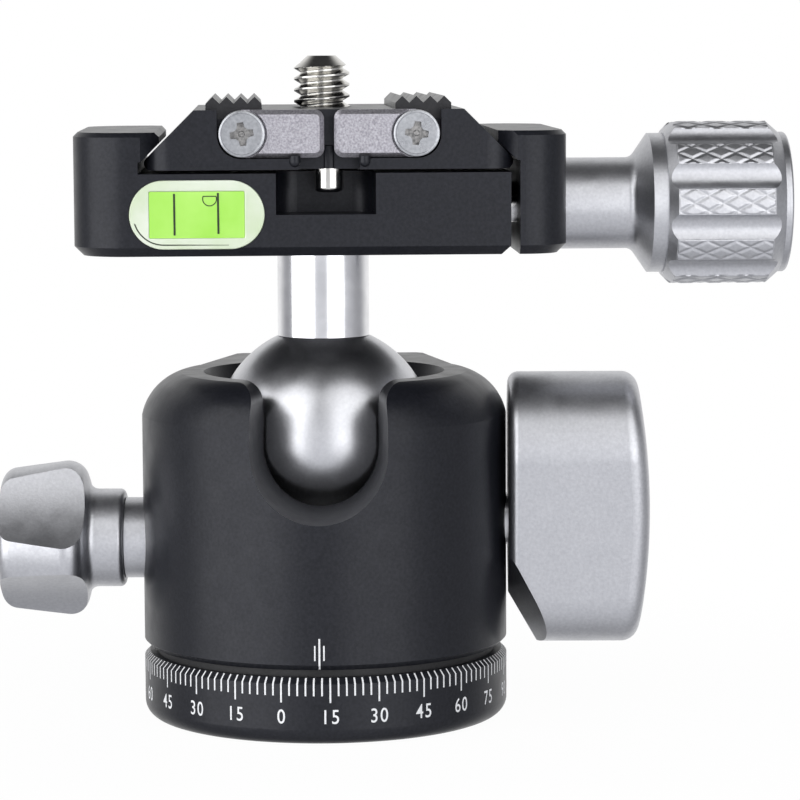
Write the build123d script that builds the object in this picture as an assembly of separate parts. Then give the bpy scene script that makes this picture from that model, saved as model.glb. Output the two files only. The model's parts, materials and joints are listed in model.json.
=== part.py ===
from build123d import *
import os
from math import sqrt, sin, cos, tan, radians, asin

# Tripod ball head: a 25 mm ball, a panning base and a dovetail clamp with its quick-release plate.
# Millimetres, +Z up.  The origin is the centre of the base's underside, on the tripod thread's axis.
# The drop notch and the clamp's long front face look along -Y; the clamp knob and the lock knob are on +X.

# ---- clearances -------------------------------------------------------------------------------
RUN = 0.1            # radial running clearance of a journal, plunger or guide
FIT = 0.05           # radial clearance of a fixed or threaded fit
FREE = 0.3           # gap between curved faces that only pass each other
FACE = 0.1           # gap between end faces that turn past each other

# ---- pan base ---------------------------------------------------------------------------------
HEAD_R = 20.85       # outer radius of the housing and of the pan disc
DISC_H = 7.5         # height of the pan disc
DISC_FOOT_R = 1.8    # rounding round the disc's foot
EDGE = 0.6           # chamfer on the turned parts' sharp edges
WASHER_T = 0.9       # slip washer between the disc and the housing
WASHER_SETBACK = 1.4 # how far the washer's rim lies inside the disc's
WASHER_W = 4.15      # width of the washer's ring
SOCKET_R = 3.97      # minor radius of the 3/8 in tripod thread
SOCKET_DEPTH = 11.0
BUSH_R = 7.0         # steel bush that carries the tripod thread
BUSH_LIP_R = 7.8
BUSH_LIP_H = 1.2
NECK_R = 12.5        # spindle's neck, inside the retaining ring
SPINDLE_TOP = 18.0
RING_H = 2.3         # retaining ring
BASE_SCREWS = 3
BASE_SCREW_PITCH_R = 10.4
BASE_SCREW_R = 1.25
BASE_SCREW_HEAD_R = 2.4
BASE_SCREW_LENGTH = 12.0
COLLAR_PLAY = 0.2    # axial play of the spindle's flange

# ---- housing ----------------------------------------------------------------------------------
BORE_R = 15.0        # main bore, from below
HEAD_TOP = 39.5      # flat top of the housing
TOP_SETBACK = 4.45   # from the wall to the flat top's crisp edge
SHOULDER_R = 6.4     # rounding from the wall to that edge
SHOULDER_PROUD = 0.14     # the rounding's circle stands this far outside the wall and leaves a crease
BACK_PAD_OUT = 1.55  # flat pad that stands out of the back wall
BACK_PAD_HALF = 11.1
MOUTH_R = 13.8       # countersunk mouth
MOUTH_DEPTH = 4.0
NOTCH_HALF = 7.8     # drop notch, half its width at the outer wall
NOTCH_DRAFT = 8.0    # degrees that each notch wall closes in towards the ball
NOTCH_LIP_R = 2.2    # rounding where the notch runs out at the top
SEAT_PLATE_T = 1.3
SPRING_H = 0.9       # dished spring under the ball cup
SPRING_T = 0.35
LOCK_Z = 22.3        # axis of the ball lock
LOCK_SCREW_R = 3.0
PAN_Z = 20.25        # axis of the pan lock
PAN_SCREW_R = 2.5
PAN_BUSH_R = 4.63    # plain silver bush that stands out of the wall
PAN_BUSH_OUT = 2.0
SHOE_R = 4.0
SHOE_T = 2.3
SHOE_ROOM = 0.8      # space behind the shoe, for it to back off

# ---- ball and stem ----------------------------------------------------------------------------
BALL_R = 12.5
BALL_Z = 32.2
STEM_R = 5.23
CUP_RISE = 3.6       # height of the ball cup
CUP_HOLE_R = 8.6
CUP_FOOT_W = 3.2     # width of the flat ring under the cup
CUP_DROP = 0.25      # how far the cup sinks when the ball is released

# ---- pan knob ---------------------------------------------------------------------------------
PAN_SLEEVE_R = 5.63
PAN_SLEEVE_L = 3.95
PAN_ROOT_R = 1.1     # hollow rounding between the sleeve and the knob
PAN_KNOB_R = 9.2
PAN_KNOB_L = 10.1
PAN_SHOULDER_L = 0.9 # lean of the shoulder's face
PAN_SHOULDER_R = 2.2
PAN_KNOB_TIP_R = 7.9
PAN_TIP_ROUND = 1.7
PAN_SCALLOPS = 4
PAN_SCALLOP_R = 20.0
PAN_SCALLOP_DEPTH = 2.56
PAN_SCALLOP_TURN = 35.0   # degrees from the horizontal to the first scallop's middle

# ---- ball lock knob ---------------------------------------------------------------------------
LOCK_GAP = 0.2       # knob's back face to the housing's wall
LOCK_KNOB_L = 16.2   # along the axis, to the dome's apex
LOCK_DOME_R = 75.0
LOCK_REACH_UP = 16.95
LOCK_REACH_DOWN = 14.2
LOCK_END_UP_R = 8.6  # radius of the knob's upper end
LOCK_END_DOWN_R = 6.6
LOCK_RELIEF_DROP = 8.5    # two planes relieve the back from this far below the axis
LOCK_RELIEF_SLOPE = 0.578 # their rise off the back face for each mm down
LOCK_RELIEF_SPREAD = 0.45 # and for each mm to the side
LOCK_EDGE_R = 2.0
LOCK_BACK_R = 1.2    # rounding of the back face's rim
LOCK_SOCKET_DEPTH = 9.0

# ---- clamp ------------------------------------------------------------------------------------
CLAMP_BOTTOM = 53.7
CLAMP_FLOOR = 62.7
JAW_TOP = 67.2
CLAMP_TURN = 3.1     # degrees that the whole clamp is turned on the ball, seen against the notch
CLAMP_LEFT = 27.65   # fixed jaw's end, left of the stem's axis
CLAMP_RIGHT = 20.2
CLAMP_DEPTH = 36.0   # front to back
CORNER_R = 6.0       # plan rounding of the fixed jaw's outer corners
JAW_CORNER_R = 4.8   # and of the moving jaw's
JAW_T = 5.4
JAW_GAP = 1.0
CLAMP_EDGE = 0.5
CLAMP_FOOT_EDGE = 1.0
LIP_H = 1.2          # upright nose of each jaw's lip
LEAD = 2.0           # corner cuts that lead the plate in past the lips
UNDERCUT = 0.3       # extra room behind the fixed jaw's lip
POCKET_HALF = 5.45   # pockets for the stop pins
POCKET_H = 4.5
POCKET_DEPTH = 7.0
POCKET_CORNER_R = 2.4
CLAMP_SCREW_R = 2.5
CLAMP_SCREW_HEAD_R = 4.25
CLAMP_SCREW_HEAD_H = 4.0
CLAMP_SCREW_REACH = 7.2   # how far it goes into the stem
HEX_R = 2.3
STUD_Z = 58.45       # axis of the clamp knob
STUD_R = 2.5
STUD_END = 6.9       # inner end of the stud, from the stem's axis
GUIDE_R = 1.5
GUIDE_SETBACK = 6.0  # guide pins, from the clamp's front and back
GUIDE_IN = 9.0
GUIDE_OUT = 4.0
LEVEL_X = -14.05
LEVEL_Z = 58.28
LEVEL_W = 14.85
LEVEL_H = 7.6
LEVEL_DEPTH = 7.0
VIAL_R = 2.6
VIAL_L = 10.4

# ---- clamp knob -------------------------------------------------------------------------------
SLEEVE_R = 5.2
SLEEVE_L = 8.5
FLARE_L = 1.9
FLARE_ROOT_R = 1.2
FLANGE_R = 7.95
FLANGE_L = 1.65
GRIP_R = 9.25
GRIP_L = 13.3
GRIP_EDGE_IN = 0.95  # chamfer of the grip's inner end
GRIP_EDGE_OUT = 1.43 # length of the bevel at its outer end, which runs down to the cap
FLUTES = 10
FLUTE_R = 2.1
FLUTE_HALF = 1.45    # half the flute's chord at the grip's skin
FLUTE_TURN = 15.2    # degrees from +Y to the first flute
CAP_R = 8.0
CAP_L = 0.85
CAP_EDGE_R = 0.35

# ---- quick-release plate ----------------------------------------------------------------------
PLATE_X = 0.4        # the plate sits this far right of the stem's axis; its camera screw is on the axis
PLATE_BOTTOM = 63.1
PLATE_H = 6.5
PLATE_FOOT_H = 1.0   # upright part of the plate's flank
PLATE_TOP_HALF = 14.7
PLATE_CORNER_R = 3.0
PLATE_EDGE = 0.5
DOVETAIL_GAP = 0.15
RECESS_HALF = 12.2   # front recess for the flaps
RECESS_DEPTH = 2.4
RECESS_FLOOR = 1.2
FLAP_X = 9.5         # pivots of the flaps
FLAP_H = 5.2
FLAP_T = 2.1
FLAP_TIP = 0.55
FLAP_CORNER_R = 1.0
FLAP_EDGE = 0.5
EYE_T = 1.0
FLAP_SCREW_R = 1.25
FLAP_HEAD_R = 2.55
FLAP_HEAD_T = 1.5
FLAP_SCREW_LENGTH = 5.0
PAD_INNER = 7.3      # serrated grip pads in the plate's top
TOOTH = 1.53
TEETH = 4
TOOTH_H = 0.75
PAD_RISE = 1.4
PAD_SUNK = 1.0
PIN_R = 1.65         # stop pins under the plate
PIN_SETBACK = 4.0    # from the plate's front and back
PIN_DOWN = 2.6
PIN_UP = 2.5
CAMERA_R = 3.1       # 1/4 in camera screw, over its thread's body
CAMERA_NECK_R = 2.4  # relieved neck inside the plate
CAMERA_OUT = 5.8
CAMERA_HEAD_R = 6.0
CAMERA_HEAD_H = 2.2
CAMERA_SLOT_W = 1.6

# ---- places that follow from the sizes ---------------------------------------------------------
HOUSING_BOTTOM = DISC_H + WASHER_T
RING_BOTTOM = HOUSING_BOTTOM + COLLAR_PLAY
RING_TOP = RING_BOTTOM + RING_H
FLANGE_BOTTOM = RING_TOP + COLLAR_PLAY
SEAT_PLATE_BOTTOM = SPINDLE_TOP + FREE
SEAT_PLATE_TOP = SEAT_PLATE_BOTTOM + SEAT_PLATE_T
CUP_BOTTOM = SEAT_PLATE_TOP + SPRING_H + CUP_DROP + FACE
CUP_TOP = CUP_BOTTOM + CUP_RISE
CUP_BORE_TOP = CUP_TOP + FREE
TOP_FLAT_R = HEAD_R - TOP_SETBACK
LOCK_FACE = HEAD_R + LOCK_GAP
JAW_IN = CLAMP_RIGHT + JAW_GAP
JAW_OUT = JAW_IN + JAW_T
KNOB_FACE = JAW_OUT + FACE
PLATE_TOP = PLATE_BOTTOM + PLATE_H
PLATE_FOOT = PLATE_BOTTOM + PLATE_FOOT_H
PLATE_HALF = PLATE_TOP_HALF + PLATE_TOP - PLATE_FOOT
FRONT = -CLAMP_DEPTH / 2
GUIDE_Y = CLAMP_DEPTH / 2 - GUIDE_SETBACK
PIN_Y = CLAMP_DEPTH / 2 - PIN_SETBACK
FLAP_Z = PLATE_TOP - FLAP_H / 2
PAD_OUTER = PAD_INNER + TEETH * TOOTH
BUSH_FACE = -(HEAD_R + PAN_BUSH_OUT)
SHOE_BACK = -(BORE_R + RUN + SHOE_T)


def cyl_x(radius, x0, x1, y=0.0, z=0.0):
    """Cylinder along X between two stations."""
    plane = Plane(origin=(min(x0, x1), y, z), z_dir=(1, 0, 0))
    return extrude(plane * Circle(radius), abs(x1 - x0))


def cyl_y(radius, y0, y1, x=0.0, z=0.0):
    """Cylinder along Y between two stations."""
    plane = Plane(origin=(x, min(y0, y1), z), z_dir=(0, 1, 0))
    return extrude(plane * Circle(radius), abs(y1 - y0))


def cyl_z(radius, z0, z1, x=0.0, y=0.0):
    """Cylinder along Z between two heights."""
    return extrude(Plane(origin=(x, y, min(z0, z1))) * Circle(radius), abs(z1 - z0))


def block(x0, x1, y0, y1, z0, z1):
    """Box between two corners."""
    middle = Pos((x0 + x1) / 2, (y0 + y1) / 2, (z0 + z1) / 2)
    return middle * Box(abs(x1 - x0), abs(y1 - y0), abs(z1 - z0))


def prism_y(points, y0, y1):
    """Outline in X and Z, drawn out along Y."""
    outline = make_face(Polyline(*[(x, y1, z) for x, z in points], close=True))
    return extrude(outline, abs(y1 - y0), dir=(0, -1, 0))


def turned_z(points):
    """Outline in radius and height, turned round Z."""
    return revolve(make_face(Polyline(*[(r, 0, z) for r, z in points], close=True)), Axis.Z)


def turned_x(points, z=0.0):
    """Outline in X and radius, turned round a line along X at height z."""
    solid = revolve(make_face(Polyline(*[(x, 0, r) for x, r in points], close=True)), Axis.X)
    return Pos(0, 0, z) * solid


def around_z(count, radius, start=0.0):
    """Evenly spaced places on a circle round Z."""
    return [Rot(0, 0, start + 360 * i / count) * Pos(radius, 0, 0) for i in range(count)]


def countersunk_screw(radius, head_radius, length):
    """Countersunk screw pointing along +Z, its flat head at z = 0."""
    cone = head_radius - radius
    return turned_z([(0, 0), (head_radius, 0), (head_radius, 0.2), (radius, 0.2 + cone), (radius, length),
                     (0, length)])


# ---- pan base ---------------------------------------------------------------------------------
def base_disc():
    outline = make_face(Polyline((0, 0, 0), (HEAD_R, 0, 0), (HEAD_R, 0, DISC_H), (0, 0, DISC_H), close=True))
    corners = outline.vertices().sort_by(Axis.X)[-2:].sort_by(Axis.Z)
    outline = fillet(corners[0], DISC_FOOT_R)
    top = outline.vertices().filter_by(lambda v: v.X > HEAD_R - EDGE and v.Z > DISC_H - EDGE)
    outline = chamfer(top, EDGE)
    disc = revolve(outline, Axis.Z)
    disc -= cyl_z(BUSH_R + FIT, -1, DISC_H + 1)
    disc -= cyl_z(BUSH_LIP_R + FIT, -1, BUSH_LIP_H)
    for place in around_z(BASE_SCREWS, BASE_SCREW_PITCH_R + FIT, 90):
        disc -= place * countersunk_screw(BASE_SCREW_R + FIT, BASE_SCREW_HEAD_R + FIT, DISC_H + 1)
    return disc


def socket_bush():
    bush = cyl_z(BUSH_LIP_R, 0, BUSH_LIP_H) + cyl_z(BUSH_R, 0, SOCKET_DEPTH)
    return bush - cyl_z(SOCKET_R, -1, SOCKET_DEPTH + 1)


def pan_spindle():
    outline = [(0, SOCKET_DEPTH), (BUSH_R + FIT, SOCKET_DEPTH), (BUSH_R + FIT, DISC_H), (NECK_R, DISC_H),
               (NECK_R, FLANGE_BOTTOM), (BORE_R - RUN, FLANGE_BOTTOM), (BORE_R - RUN, SPINDLE_TOP - EDGE),
               (BORE_R - RUN - EDGE, SPINDLE_TOP), (0, SPINDLE_TOP)]
    spindle = turned_z(outline)
    for place in around_z(BASE_SCREWS, BASE_SCREW_PITCH_R + FIT, 90):
        spindle -= place * cyl_z(BASE_SCREW_R + FIT, 0, BASE_SCREW_LENGTH + FACE)
    return spindle


def base_screws():
    screw = countersunk_screw(BASE_SCREW_R, BASE_SCREW_HEAD_R, BASE_SCREW_LENGTH)
    screw -= extrude(RegularPolygon(BASE_SCREW_R * 0.8, 6), BASE_SCREW_R)
    return Compound([place * screw for place in around_z(BASE_SCREWS, BASE_SCREW_PITCH_R + FIT, 90)])


def pan_washer():
    rim = HEAD_R - WASHER_SETBACK
    return cyl_z(rim, DISC_H, HOUSING_BOTTOM) - cyl_z(rim - WASHER_W, 0, HEAD_TOP)


# ---- housing ----------------------------------------------------------------------------------
def notch_outline(half, y):
    """U of the drop notch at one depth; its walls flare out at the housing's top."""
    lip = HEAD_TOP - NOTCH_LIP_R
    wide = half + NOTCH_LIP_R
    above = HEAD_TOP + 3
    bend_x = wide - NOTCH_LIP_R * cos(radians(45))
    bend_z = lip + NOTCH_LIP_R * sin(radians(45))
    edges = [Line((-wide, y, above), (wide, y, above))]
    for side in (-1, 1):
        edges.append(Line((side * half, y, BALL_Z), (side * half, y, lip)))
        edges.append(ThreePointArc(
            (side * half, y, lip), (side * bend_x, y, bend_z), (side * wide, y, HEAD_TOP)))
        edges.append(Line((side * wide, y, HEAD_TOP), (side * wide, y, above)))
    edges.append(ThreePointArc((half, y, BALL_Z), (0, y, BALL_Z - half), (-half, y, BALL_Z)))
    return make_face(edges)


def drop_notch():
    """Tapered U cutter, from inside the ball's cavity out through the front wall."""
    inner_y = -BALL_R * 0.6
    outer_y = -HEAD_R - 1
    draft = tan(radians(NOTCH_DRAFT))
    inner = notch_outline(NOTCH_HALF - (HEAD_R + inner_y) * draft, inner_y)
    outer = notch_outline(NOTCH_HALF + draft, outer_y)
    return loft([inner, outer])


def shoulder_waste():
    """What the rounding between the wall and the flat top takes away, in radius and height."""
    centre_r = HEAD_R + SHOULDER_PROUD - SHOULDER_R
    centre_z = HEAD_TOP - sqrt(SHOULDER_R ** 2 - (TOP_FLAT_R - centre_r) ** 2)
    corner = Pos(centre_r + SHOULDER_R, centre_z + SHOULDER_R) * Rectangle(2 * SHOULDER_R, 2 * SHOULDER_R)
    return Plane.XZ * (corner - Pos(centre_r, centre_z) * Circle(SHOULDER_R))


def back_pad():
    """Flat pad on the back wall; its sides run forward to the flat top's widest points."""
    back = HEAD_R + BACK_PAD_OUT
    plan = make_face(Polyline(
        (-TOP_FLAT_R, 0), (TOP_FLAT_R, 0), (BACK_PAD_HALF, back), (-BACK_PAD_HALF, back), close=True))
    pad = extrude(Pos(0, 0, HOUSING_BOTTOM + EDGE) * plan, HEAD_TOP - HOUSING_BOTTOM - EDGE, dir=(0, 0, 1))
    face = pad.faces().sort_by(Axis.Y)[-1]
    return chamfer(face.edges().filter_by(Axis.Z) + face.edges().sort_by(Axis.Z)[:1], EDGE)


def housing():
    outline = make_face(Polyline((0, 0, HOUSING_BOTTOM), (HEAD_R, 0, HOUSING_BOTTOM), (HEAD_R, 0, HEAD_TOP),
                                 (0, 0, HEAD_TOP), close=True))
    foot = outline.vertices().filter_by(lambda v: v.X > HEAD_R - FIT and v.Z < HEAD_TOP - 1)
    outline = chamfer(foot, EDGE)
    body = revolve(outline - shoulder_waste(), Axis.Z) + back_pad()
    body -= cyl_z(BORE_R, HOUSING_BOTTOM - 1, CUP_BORE_TOP)
    body -= cyl_z(BALL_R + FREE, CUP_TOP, BALL_Z)
    body -= Pos(0, 0, BALL_Z) * Sphere(BALL_R + FREE)
    rim_z = HEAD_TOP - MOUTH_DEPTH
    rim_r = sqrt((BALL_R + FREE) ** 2 - (rim_z - BALL_Z) ** 2)
    body -= turned_z([
        (0, rim_z), (rim_r, rim_z), (MOUTH_R, HEAD_TOP), (MOUTH_R, HEAD_TOP + 1), (0, HEAD_TOP + 1)])
    body -= drop_notch()
    body -= cyl_x(LOCK_SCREW_R + RUN, BORE_R - 1, HEAD_R + 1, z=LOCK_Z)
    body -= cyl_x(SHOE_R + RUN, -BORE_R + 1, SHOE_BACK, z=PAN_Z)
    body -= cyl_x(PAN_BUSH_R + FIT, SHOE_BACK, -HEAD_R - 1, z=PAN_Z)
    return body


def retaining_ring():
    ring = cyl_z(BORE_R - FIT, RING_BOTTOM, RING_TOP) - cyl_z(NECK_R + FREE, 0, HEAD_TOP)
    for place in around_z(2, (BORE_R + NECK_R) / 2):
        ring -= place * cyl_z(EDGE, RING_BOTTOM - 1, RING_BOTTOM + RING_H / 2)
    return ring


def seat_plate():
    return cyl_z(BORE_R - FIT, SEAT_PLATE_BOTTOM, SEAT_PLATE_TOP) - cyl_z(CUP_HOLE_R, 0, HEAD_TOP)


def cup_spring():
    """Dished washer that keeps a light drag on the ball."""
    inner, outer = CUP_HOLE_R + EDGE, BORE_R - FREE - EDGE
    foot, crest = SEAT_PLATE_TOP, SEAT_PLATE_TOP + SPRING_H
    return turned_z([(outer, foot), (outer, foot + SPRING_T), (inner, crest), (inner, crest - SPRING_T)])


def cup_flank(z):
    """Radius of the ball cup's 45 degree flank at a height."""
    return CUP_HOLE_R + CUP_FOOT_W + z - CUP_BOTTOM


def ball_cup():
    rim = BORE_R - FREE - FIT
    turn = CUP_BOTTOM + rim - cup_flank(CUP_BOTTOM)
    cup = turned_z([
        (CUP_HOLE_R, CUP_BOTTOM), (cup_flank(CUP_BOTTOM), CUP_BOTTOM), (rim, turn), (rim, CUP_TOP),
        (CUP_HOLE_R, CUP_TOP)])
    return cup - Pos(0, 0, BALL_Z) * Sphere(BALL_R + FREE)


# ---- ball lock --------------------------------------------------------------------------------
PLUNGER_TIP = cup_flank(LOCK_Z + EDGE) + FREE
PLUNGER_BACK = PLUNGER_TIP + LOCK_SCREW_R
LOCK_SCREW_END = LOCK_FACE + LOCK_SOCKET_DEPTH


def lock_plunger():
    shoulder = PLUNGER_TIP + LOCK_SCREW_R - EDGE
    outline = [(PLUNGER_TIP, 0), (PLUNGER_TIP, EDGE), (shoulder, LOCK_SCREW_R), (PLUNGER_BACK, LOCK_SCREW_R),
               (PLUNGER_BACK, 0)]
    return turned_x(outline, LOCK_Z)


def lock_screw():
    return cyl_x(LOCK_SCREW_R, PLUNGER_BACK + FACE, LOCK_SCREW_END, z=LOCK_Z)


def lock_knob():
    """Long rounded paddle with a domed outer face; two planes relieve its back behind the lower end."""
    upper = Pos(0, LOCK_REACH_UP - LOCK_END_UP_R) * Circle(LOCK_END_UP_R)
    lower = Pos(0, LOCK_END_DOWN_R - LOCK_REACH_DOWN) * Circle(LOCK_END_DOWN_R)
    outline = make_hull((upper + lower).edges())
    section = Plane(origin=(LOCK_FACE, 0, LOCK_Z), x_dir=(0, 1, 0), z_dir=(1, 0, 0)) * outline
    paddle = extrude(section, LOCK_KNOB_L + 1)
    dome = Pos(LOCK_FACE + LOCK_KNOB_L - LOCK_DOME_R, 0, LOCK_Z + (LOCK_REACH_UP - LOCK_REACH_DOWN) / 2)
    paddle &= dome * Sphere(LOCK_DOME_R)
    rim = paddle.faces().filter_by(GeomType.SPHERE)[0].outer_wire().edges()
    paddle = fillet(rim, LOCK_EDGE_R)
    paddle = fillet(paddle.faces().sort_by(Axis.X)[0].outer_wire().edges(), LOCK_BACK_R)
    far = 2 * (LOCK_REACH_UP + LOCK_REACH_DOWN)
    for side in (-1, 1):
        relief = Plane(origin=(LOCK_FACE, 0, LOCK_Z - LOCK_RELIEF_DROP),
                       z_dir=(1, -side * LOCK_RELIEF_SPREAD, LOCK_RELIEF_SLOPE))
        paddle -= extrude(relief * Rectangle(far, far), -far)
    return paddle - cyl_x(LOCK_SCREW_R + FIT, LOCK_FACE - 1, LOCK_SCREW_END + FACE, z=LOCK_Z)


# ---- pan lock ---------------------------------------------------------------------------------
PAN_FACE = BUSH_FACE - FACE
PAN_NECK = PAN_FACE - PAN_SLEEVE_L
PAN_TIP = PAN_NECK - PAN_KNOB_L
PAN_SCREW_END = PAN_NECK - PAN_KNOB_L / 2


def pan_bush():
    bush = cyl_x(PAN_BUSH_R, SHOE_BACK - SHOE_ROOM, BUSH_FACE, z=PAN_Z)
    return bush - cyl_x(PAN_SCREW_R + RUN, 0, BUSH_FACE - 1, z=PAN_Z)


def pan_shoe():
    """Brass pad with a hollowed face that grips the spindle."""
    shoe = cyl_x(SHOE_R, 0, SHOE_BACK, z=PAN_Z)
    return shoe - cyl_z(BORE_R + RUN, 0, HEAD_TOP)


def pan_screw():
    return cyl_x(PAN_SCREW_R, SHOE_BACK - FACE, PAN_SCREW_END, z=PAN_Z)


def pan_knob():
    """Barrel that swells towards its sleeve, with four hollow scallops for the fingers."""
    outline = make_face(Polyline(
        (PAN_FACE, 0, 0), (PAN_FACE, 0, PAN_SLEEVE_R), (PAN_NECK, 0, PAN_SLEEVE_R),
        (PAN_NECK - PAN_SHOULDER_L, 0, PAN_KNOB_R), (PAN_TIP, 0, PAN_KNOB_TIP_R), (PAN_TIP, 0, 0),
        close=True))
    for station, radius, rounding in ((PAN_FACE, PAN_SLEEVE_R, EDGE), (PAN_NECK, PAN_SLEEVE_R, PAN_ROOT_R),
                                      (PAN_NECK - PAN_SHOULDER_L, PAN_KNOB_R, PAN_SHOULDER_R),
                                      (PAN_TIP, PAN_KNOB_TIP_R, PAN_TIP_ROUND)):
        outline = fillet(outline.vertices().sort_by_distance((station, 0, radius))[0], rounding)
    knob = revolve(outline, Axis.X)
    reach = PAN_KNOB_R - PAN_SCALLOP_DEPTH + PAN_SCALLOP_R
    for turn in range(PAN_SCALLOPS):
        angle = radians(PAN_SCALLOP_TURN + 360 * turn / PAN_SCALLOPS)
        knob -= cyl_x(PAN_SCALLOP_R, PAN_NECK - 0.2, PAN_TIP - 2, y=-reach * cos(angle), z=reach * sin(angle))
    knob = Pos(0, 0, PAN_Z) * knob
    return knob - cyl_x(PAN_SCREW_R + FIT, PAN_FACE + 1, PAN_SCREW_END - FACE, z=PAN_Z)


# ---- ball and stem ----------------------------------------------------------------------------
def ball():
    return Pos(0, 0, BALL_Z) * Sphere(BALL_R)


def stem():
    """Neck with a hollow foot that seats on the ball, tapped for the clamp's screw."""
    neck = cyl_z(STEM_R, BALL_Z, CLAMP_BOTTOM) - Pos(0, 0, BALL_Z) * Sphere(BALL_R + FIT)
    return neck - cyl_z(CLAMP_SCREW_R + FIT, CLAMP_BOTTOM - CLAMP_SCREW_REACH - FACE, CLAMP_BOTTOM + 1)


# ---- clamp ------------------------------------------------------------------------------------
FLANK = PLATE_HALF + DOVETAIL_GAP * sqrt(2) + PLATE_FOOT   # x + z along each jaw's sloped face
LIP_Z = JAW_TOP - LIP_H
RELIEF_Z = PLATE_FOOT - FACE
LEFT_LIP = PLATE_X - (FLANK - LIP_Z)
RIGHT_LIP = PLATE_X + FLANK - LIP_Z
LEFT_RELIEF = PLATE_X - (FLANK - RELIEF_Z)
RIGHT_RELIEF = PLATE_X + FLANK - RELIEF_Z


def plan_outline(inner, outer, rounding):
    """Rectangle in plan, rounded at its outer end, as a tall prism."""
    plan = Pos((inner + outer) / 2, 0) * Rectangle(abs(outer - inner), CLAMP_DEPTH)
    corners = [v for v in plan.vertices() if abs(v.X - outer) < FIT]
    return extrude(Pos(0, 0, CLAMP_BOTTOM - 1) * fillet(corners, rounding), 2 * JAW_TOP)


def soften_rims(jaw, rims_from):
    """Chamfers the rims of a jaw's underside and top, leaving out the first ones from the left."""
    faces = jaw.faces().filter_by(Axis.Z)
    for level, size in ((CLAMP_BOTTOM, CLAMP_FOOT_EDGE), (JAW_TOP, CLAMP_EDGE)):
        rim = [f for f in faces if abs(f.center().Z - level) < FIT][0].outer_wire().edges().sort_by(Axis.X)
        jaw = chamfer(rim[rims_from:], size)
        faces = jaw.faces().filter_by(Axis.Z)
    return jaw


def lead_ins(nose, side):
    """Corner cuts past a lip's nose, at the front and the back; the jaw lies on the given side of it."""
    cuts = []
    for end in (-1, 1):
        y = end * CLAMP_DEPTH / 2
        plan = make_face(Polyline((nose + side * (LEAD + 1), y + end), (nose - side, y - end * (LEAD + 1)),
                                  (nose - side, y + end), close=True))
        cuts.append(extrude(Pos(0, 0, RELIEF_Z) * plan, JAW_TOP, dir=(0, 0, 1)))
    return cuts


def pin_pocket(side):
    """Pocket that a stop pin stands in, open to the front or to the back."""
    inner = side * (CLAMP_DEPTH / 2 - POCKET_DEPTH)
    outer = side * (CLAMP_DEPTH / 2 + POCKET_CORNER_R + 1)
    plan = RectangleRounded(2 * POCKET_HALF, abs(outer - inner), POCKET_CORNER_R)
    return extrude(Pos(0, (inner + outer) / 2, CLAMP_FLOOR - POCKET_H) * plan, POCKET_H + 1)


def level_cut(inset, depth):
    """Long round-ended block let into the clamp's front face."""
    plan = SlotOverall(LEVEL_W - 2 * inset, LEVEL_H - 2 * inset)
    plane = Plane(origin=(LEVEL_X, FRONT, LEVEL_Z), x_dir=(1, 0, 0), z_dir=(0, -1, 0))
    return extrude(plane * plan, -depth)


def clamp_body():
    outline = [(-CLAMP_LEFT, CLAMP_BOTTOM), (CLAMP_RIGHT, CLAMP_BOTTOM), (CLAMP_RIGHT, CLAMP_FLOOR),
               (LEFT_RELIEF - UNDERCUT, CLAMP_FLOOR), (LEFT_RELIEF - UNDERCUT, RELIEF_Z),
               (LEFT_RELIEF, RELIEF_Z), (LEFT_LIP, LIP_Z), (LEFT_LIP, JAW_TOP), (-CLAMP_LEFT, JAW_TOP)]
    body = prism_y(outline, FRONT, -FRONT)
    body &= plan_outline(CLAMP_RIGHT, -CLAMP_LEFT, CORNER_R)
    body = soften_rims(body, 0)
    for cut in lead_ins(LEFT_LIP, -1):
        body -= cut
    body -= pin_pocket(-1)
    body -= pin_pocket(1)
    body -= level_cut(0, LEVEL_DEPTH)
    head_room = CLAMP_FLOOR - CLAMP_SCREW_HEAD_H - CLAMP_EDGE
    body -= cyl_z(CLAMP_SCREW_HEAD_R + FREE, head_room, JAW_TOP)
    body -= cyl_z(CLAMP_SCREW_R + FIT, CLAMP_BOTTOM - 1, JAW_TOP)
    body -= cyl_x(STUD_R + RUN, STUD_END - FACE, CLAMP_RIGHT + 1, z=STUD_Z)
    for side in (-1, 1):
        body -= cyl_x(GUIDE_R + FIT, CLAMP_RIGHT - GUIDE_IN - FACE, CLAMP_RIGHT + 1, side * GUIDE_Y, STUD_Z)
    return body


def clamp_screw():
    under_head = CLAMP_FLOOR - CLAMP_SCREW_HEAD_H - CLAMP_EDGE
    screw = cyl_z(CLAMP_SCREW_HEAD_R, under_head, under_head + CLAMP_SCREW_HEAD_H)
    screw += cyl_z(CLAMP_SCREW_R, CLAMP_BOTTOM - CLAMP_SCREW_REACH, under_head + 1)
    top = under_head + CLAMP_SCREW_HEAD_H
    return screw - extrude(Pos(0, 0, top - CLAMP_SCREW_R) * RegularPolygon(HEX_R, 6), CLAMP_SCREW_R + 1)


def guide_pins():
    inner, outer = CLAMP_RIGHT - GUIDE_IN, JAW_IN + GUIDE_OUT
    return Compound([cyl_x(GUIDE_R, inner, outer, side * GUIDE_Y, STUD_Z) for side in (-1, 1)])


def level_block():
    body = level_cut(FIT, LEVEL_DEPTH - FIT)
    middle = FRONT + LEVEL_DEPTH / 2
    half = VIAL_L / 2 + FIT
    return body - cyl_x(VIAL_R + FIT, LEVEL_X - half, LEVEL_X + half, middle, LEVEL_Z)


def level_vial():
    return cyl_x(VIAL_R, LEVEL_X - VIAL_L / 2, LEVEL_X + VIAL_L / 2, FRONT + LEVEL_DEPTH / 2, LEVEL_Z)


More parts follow.
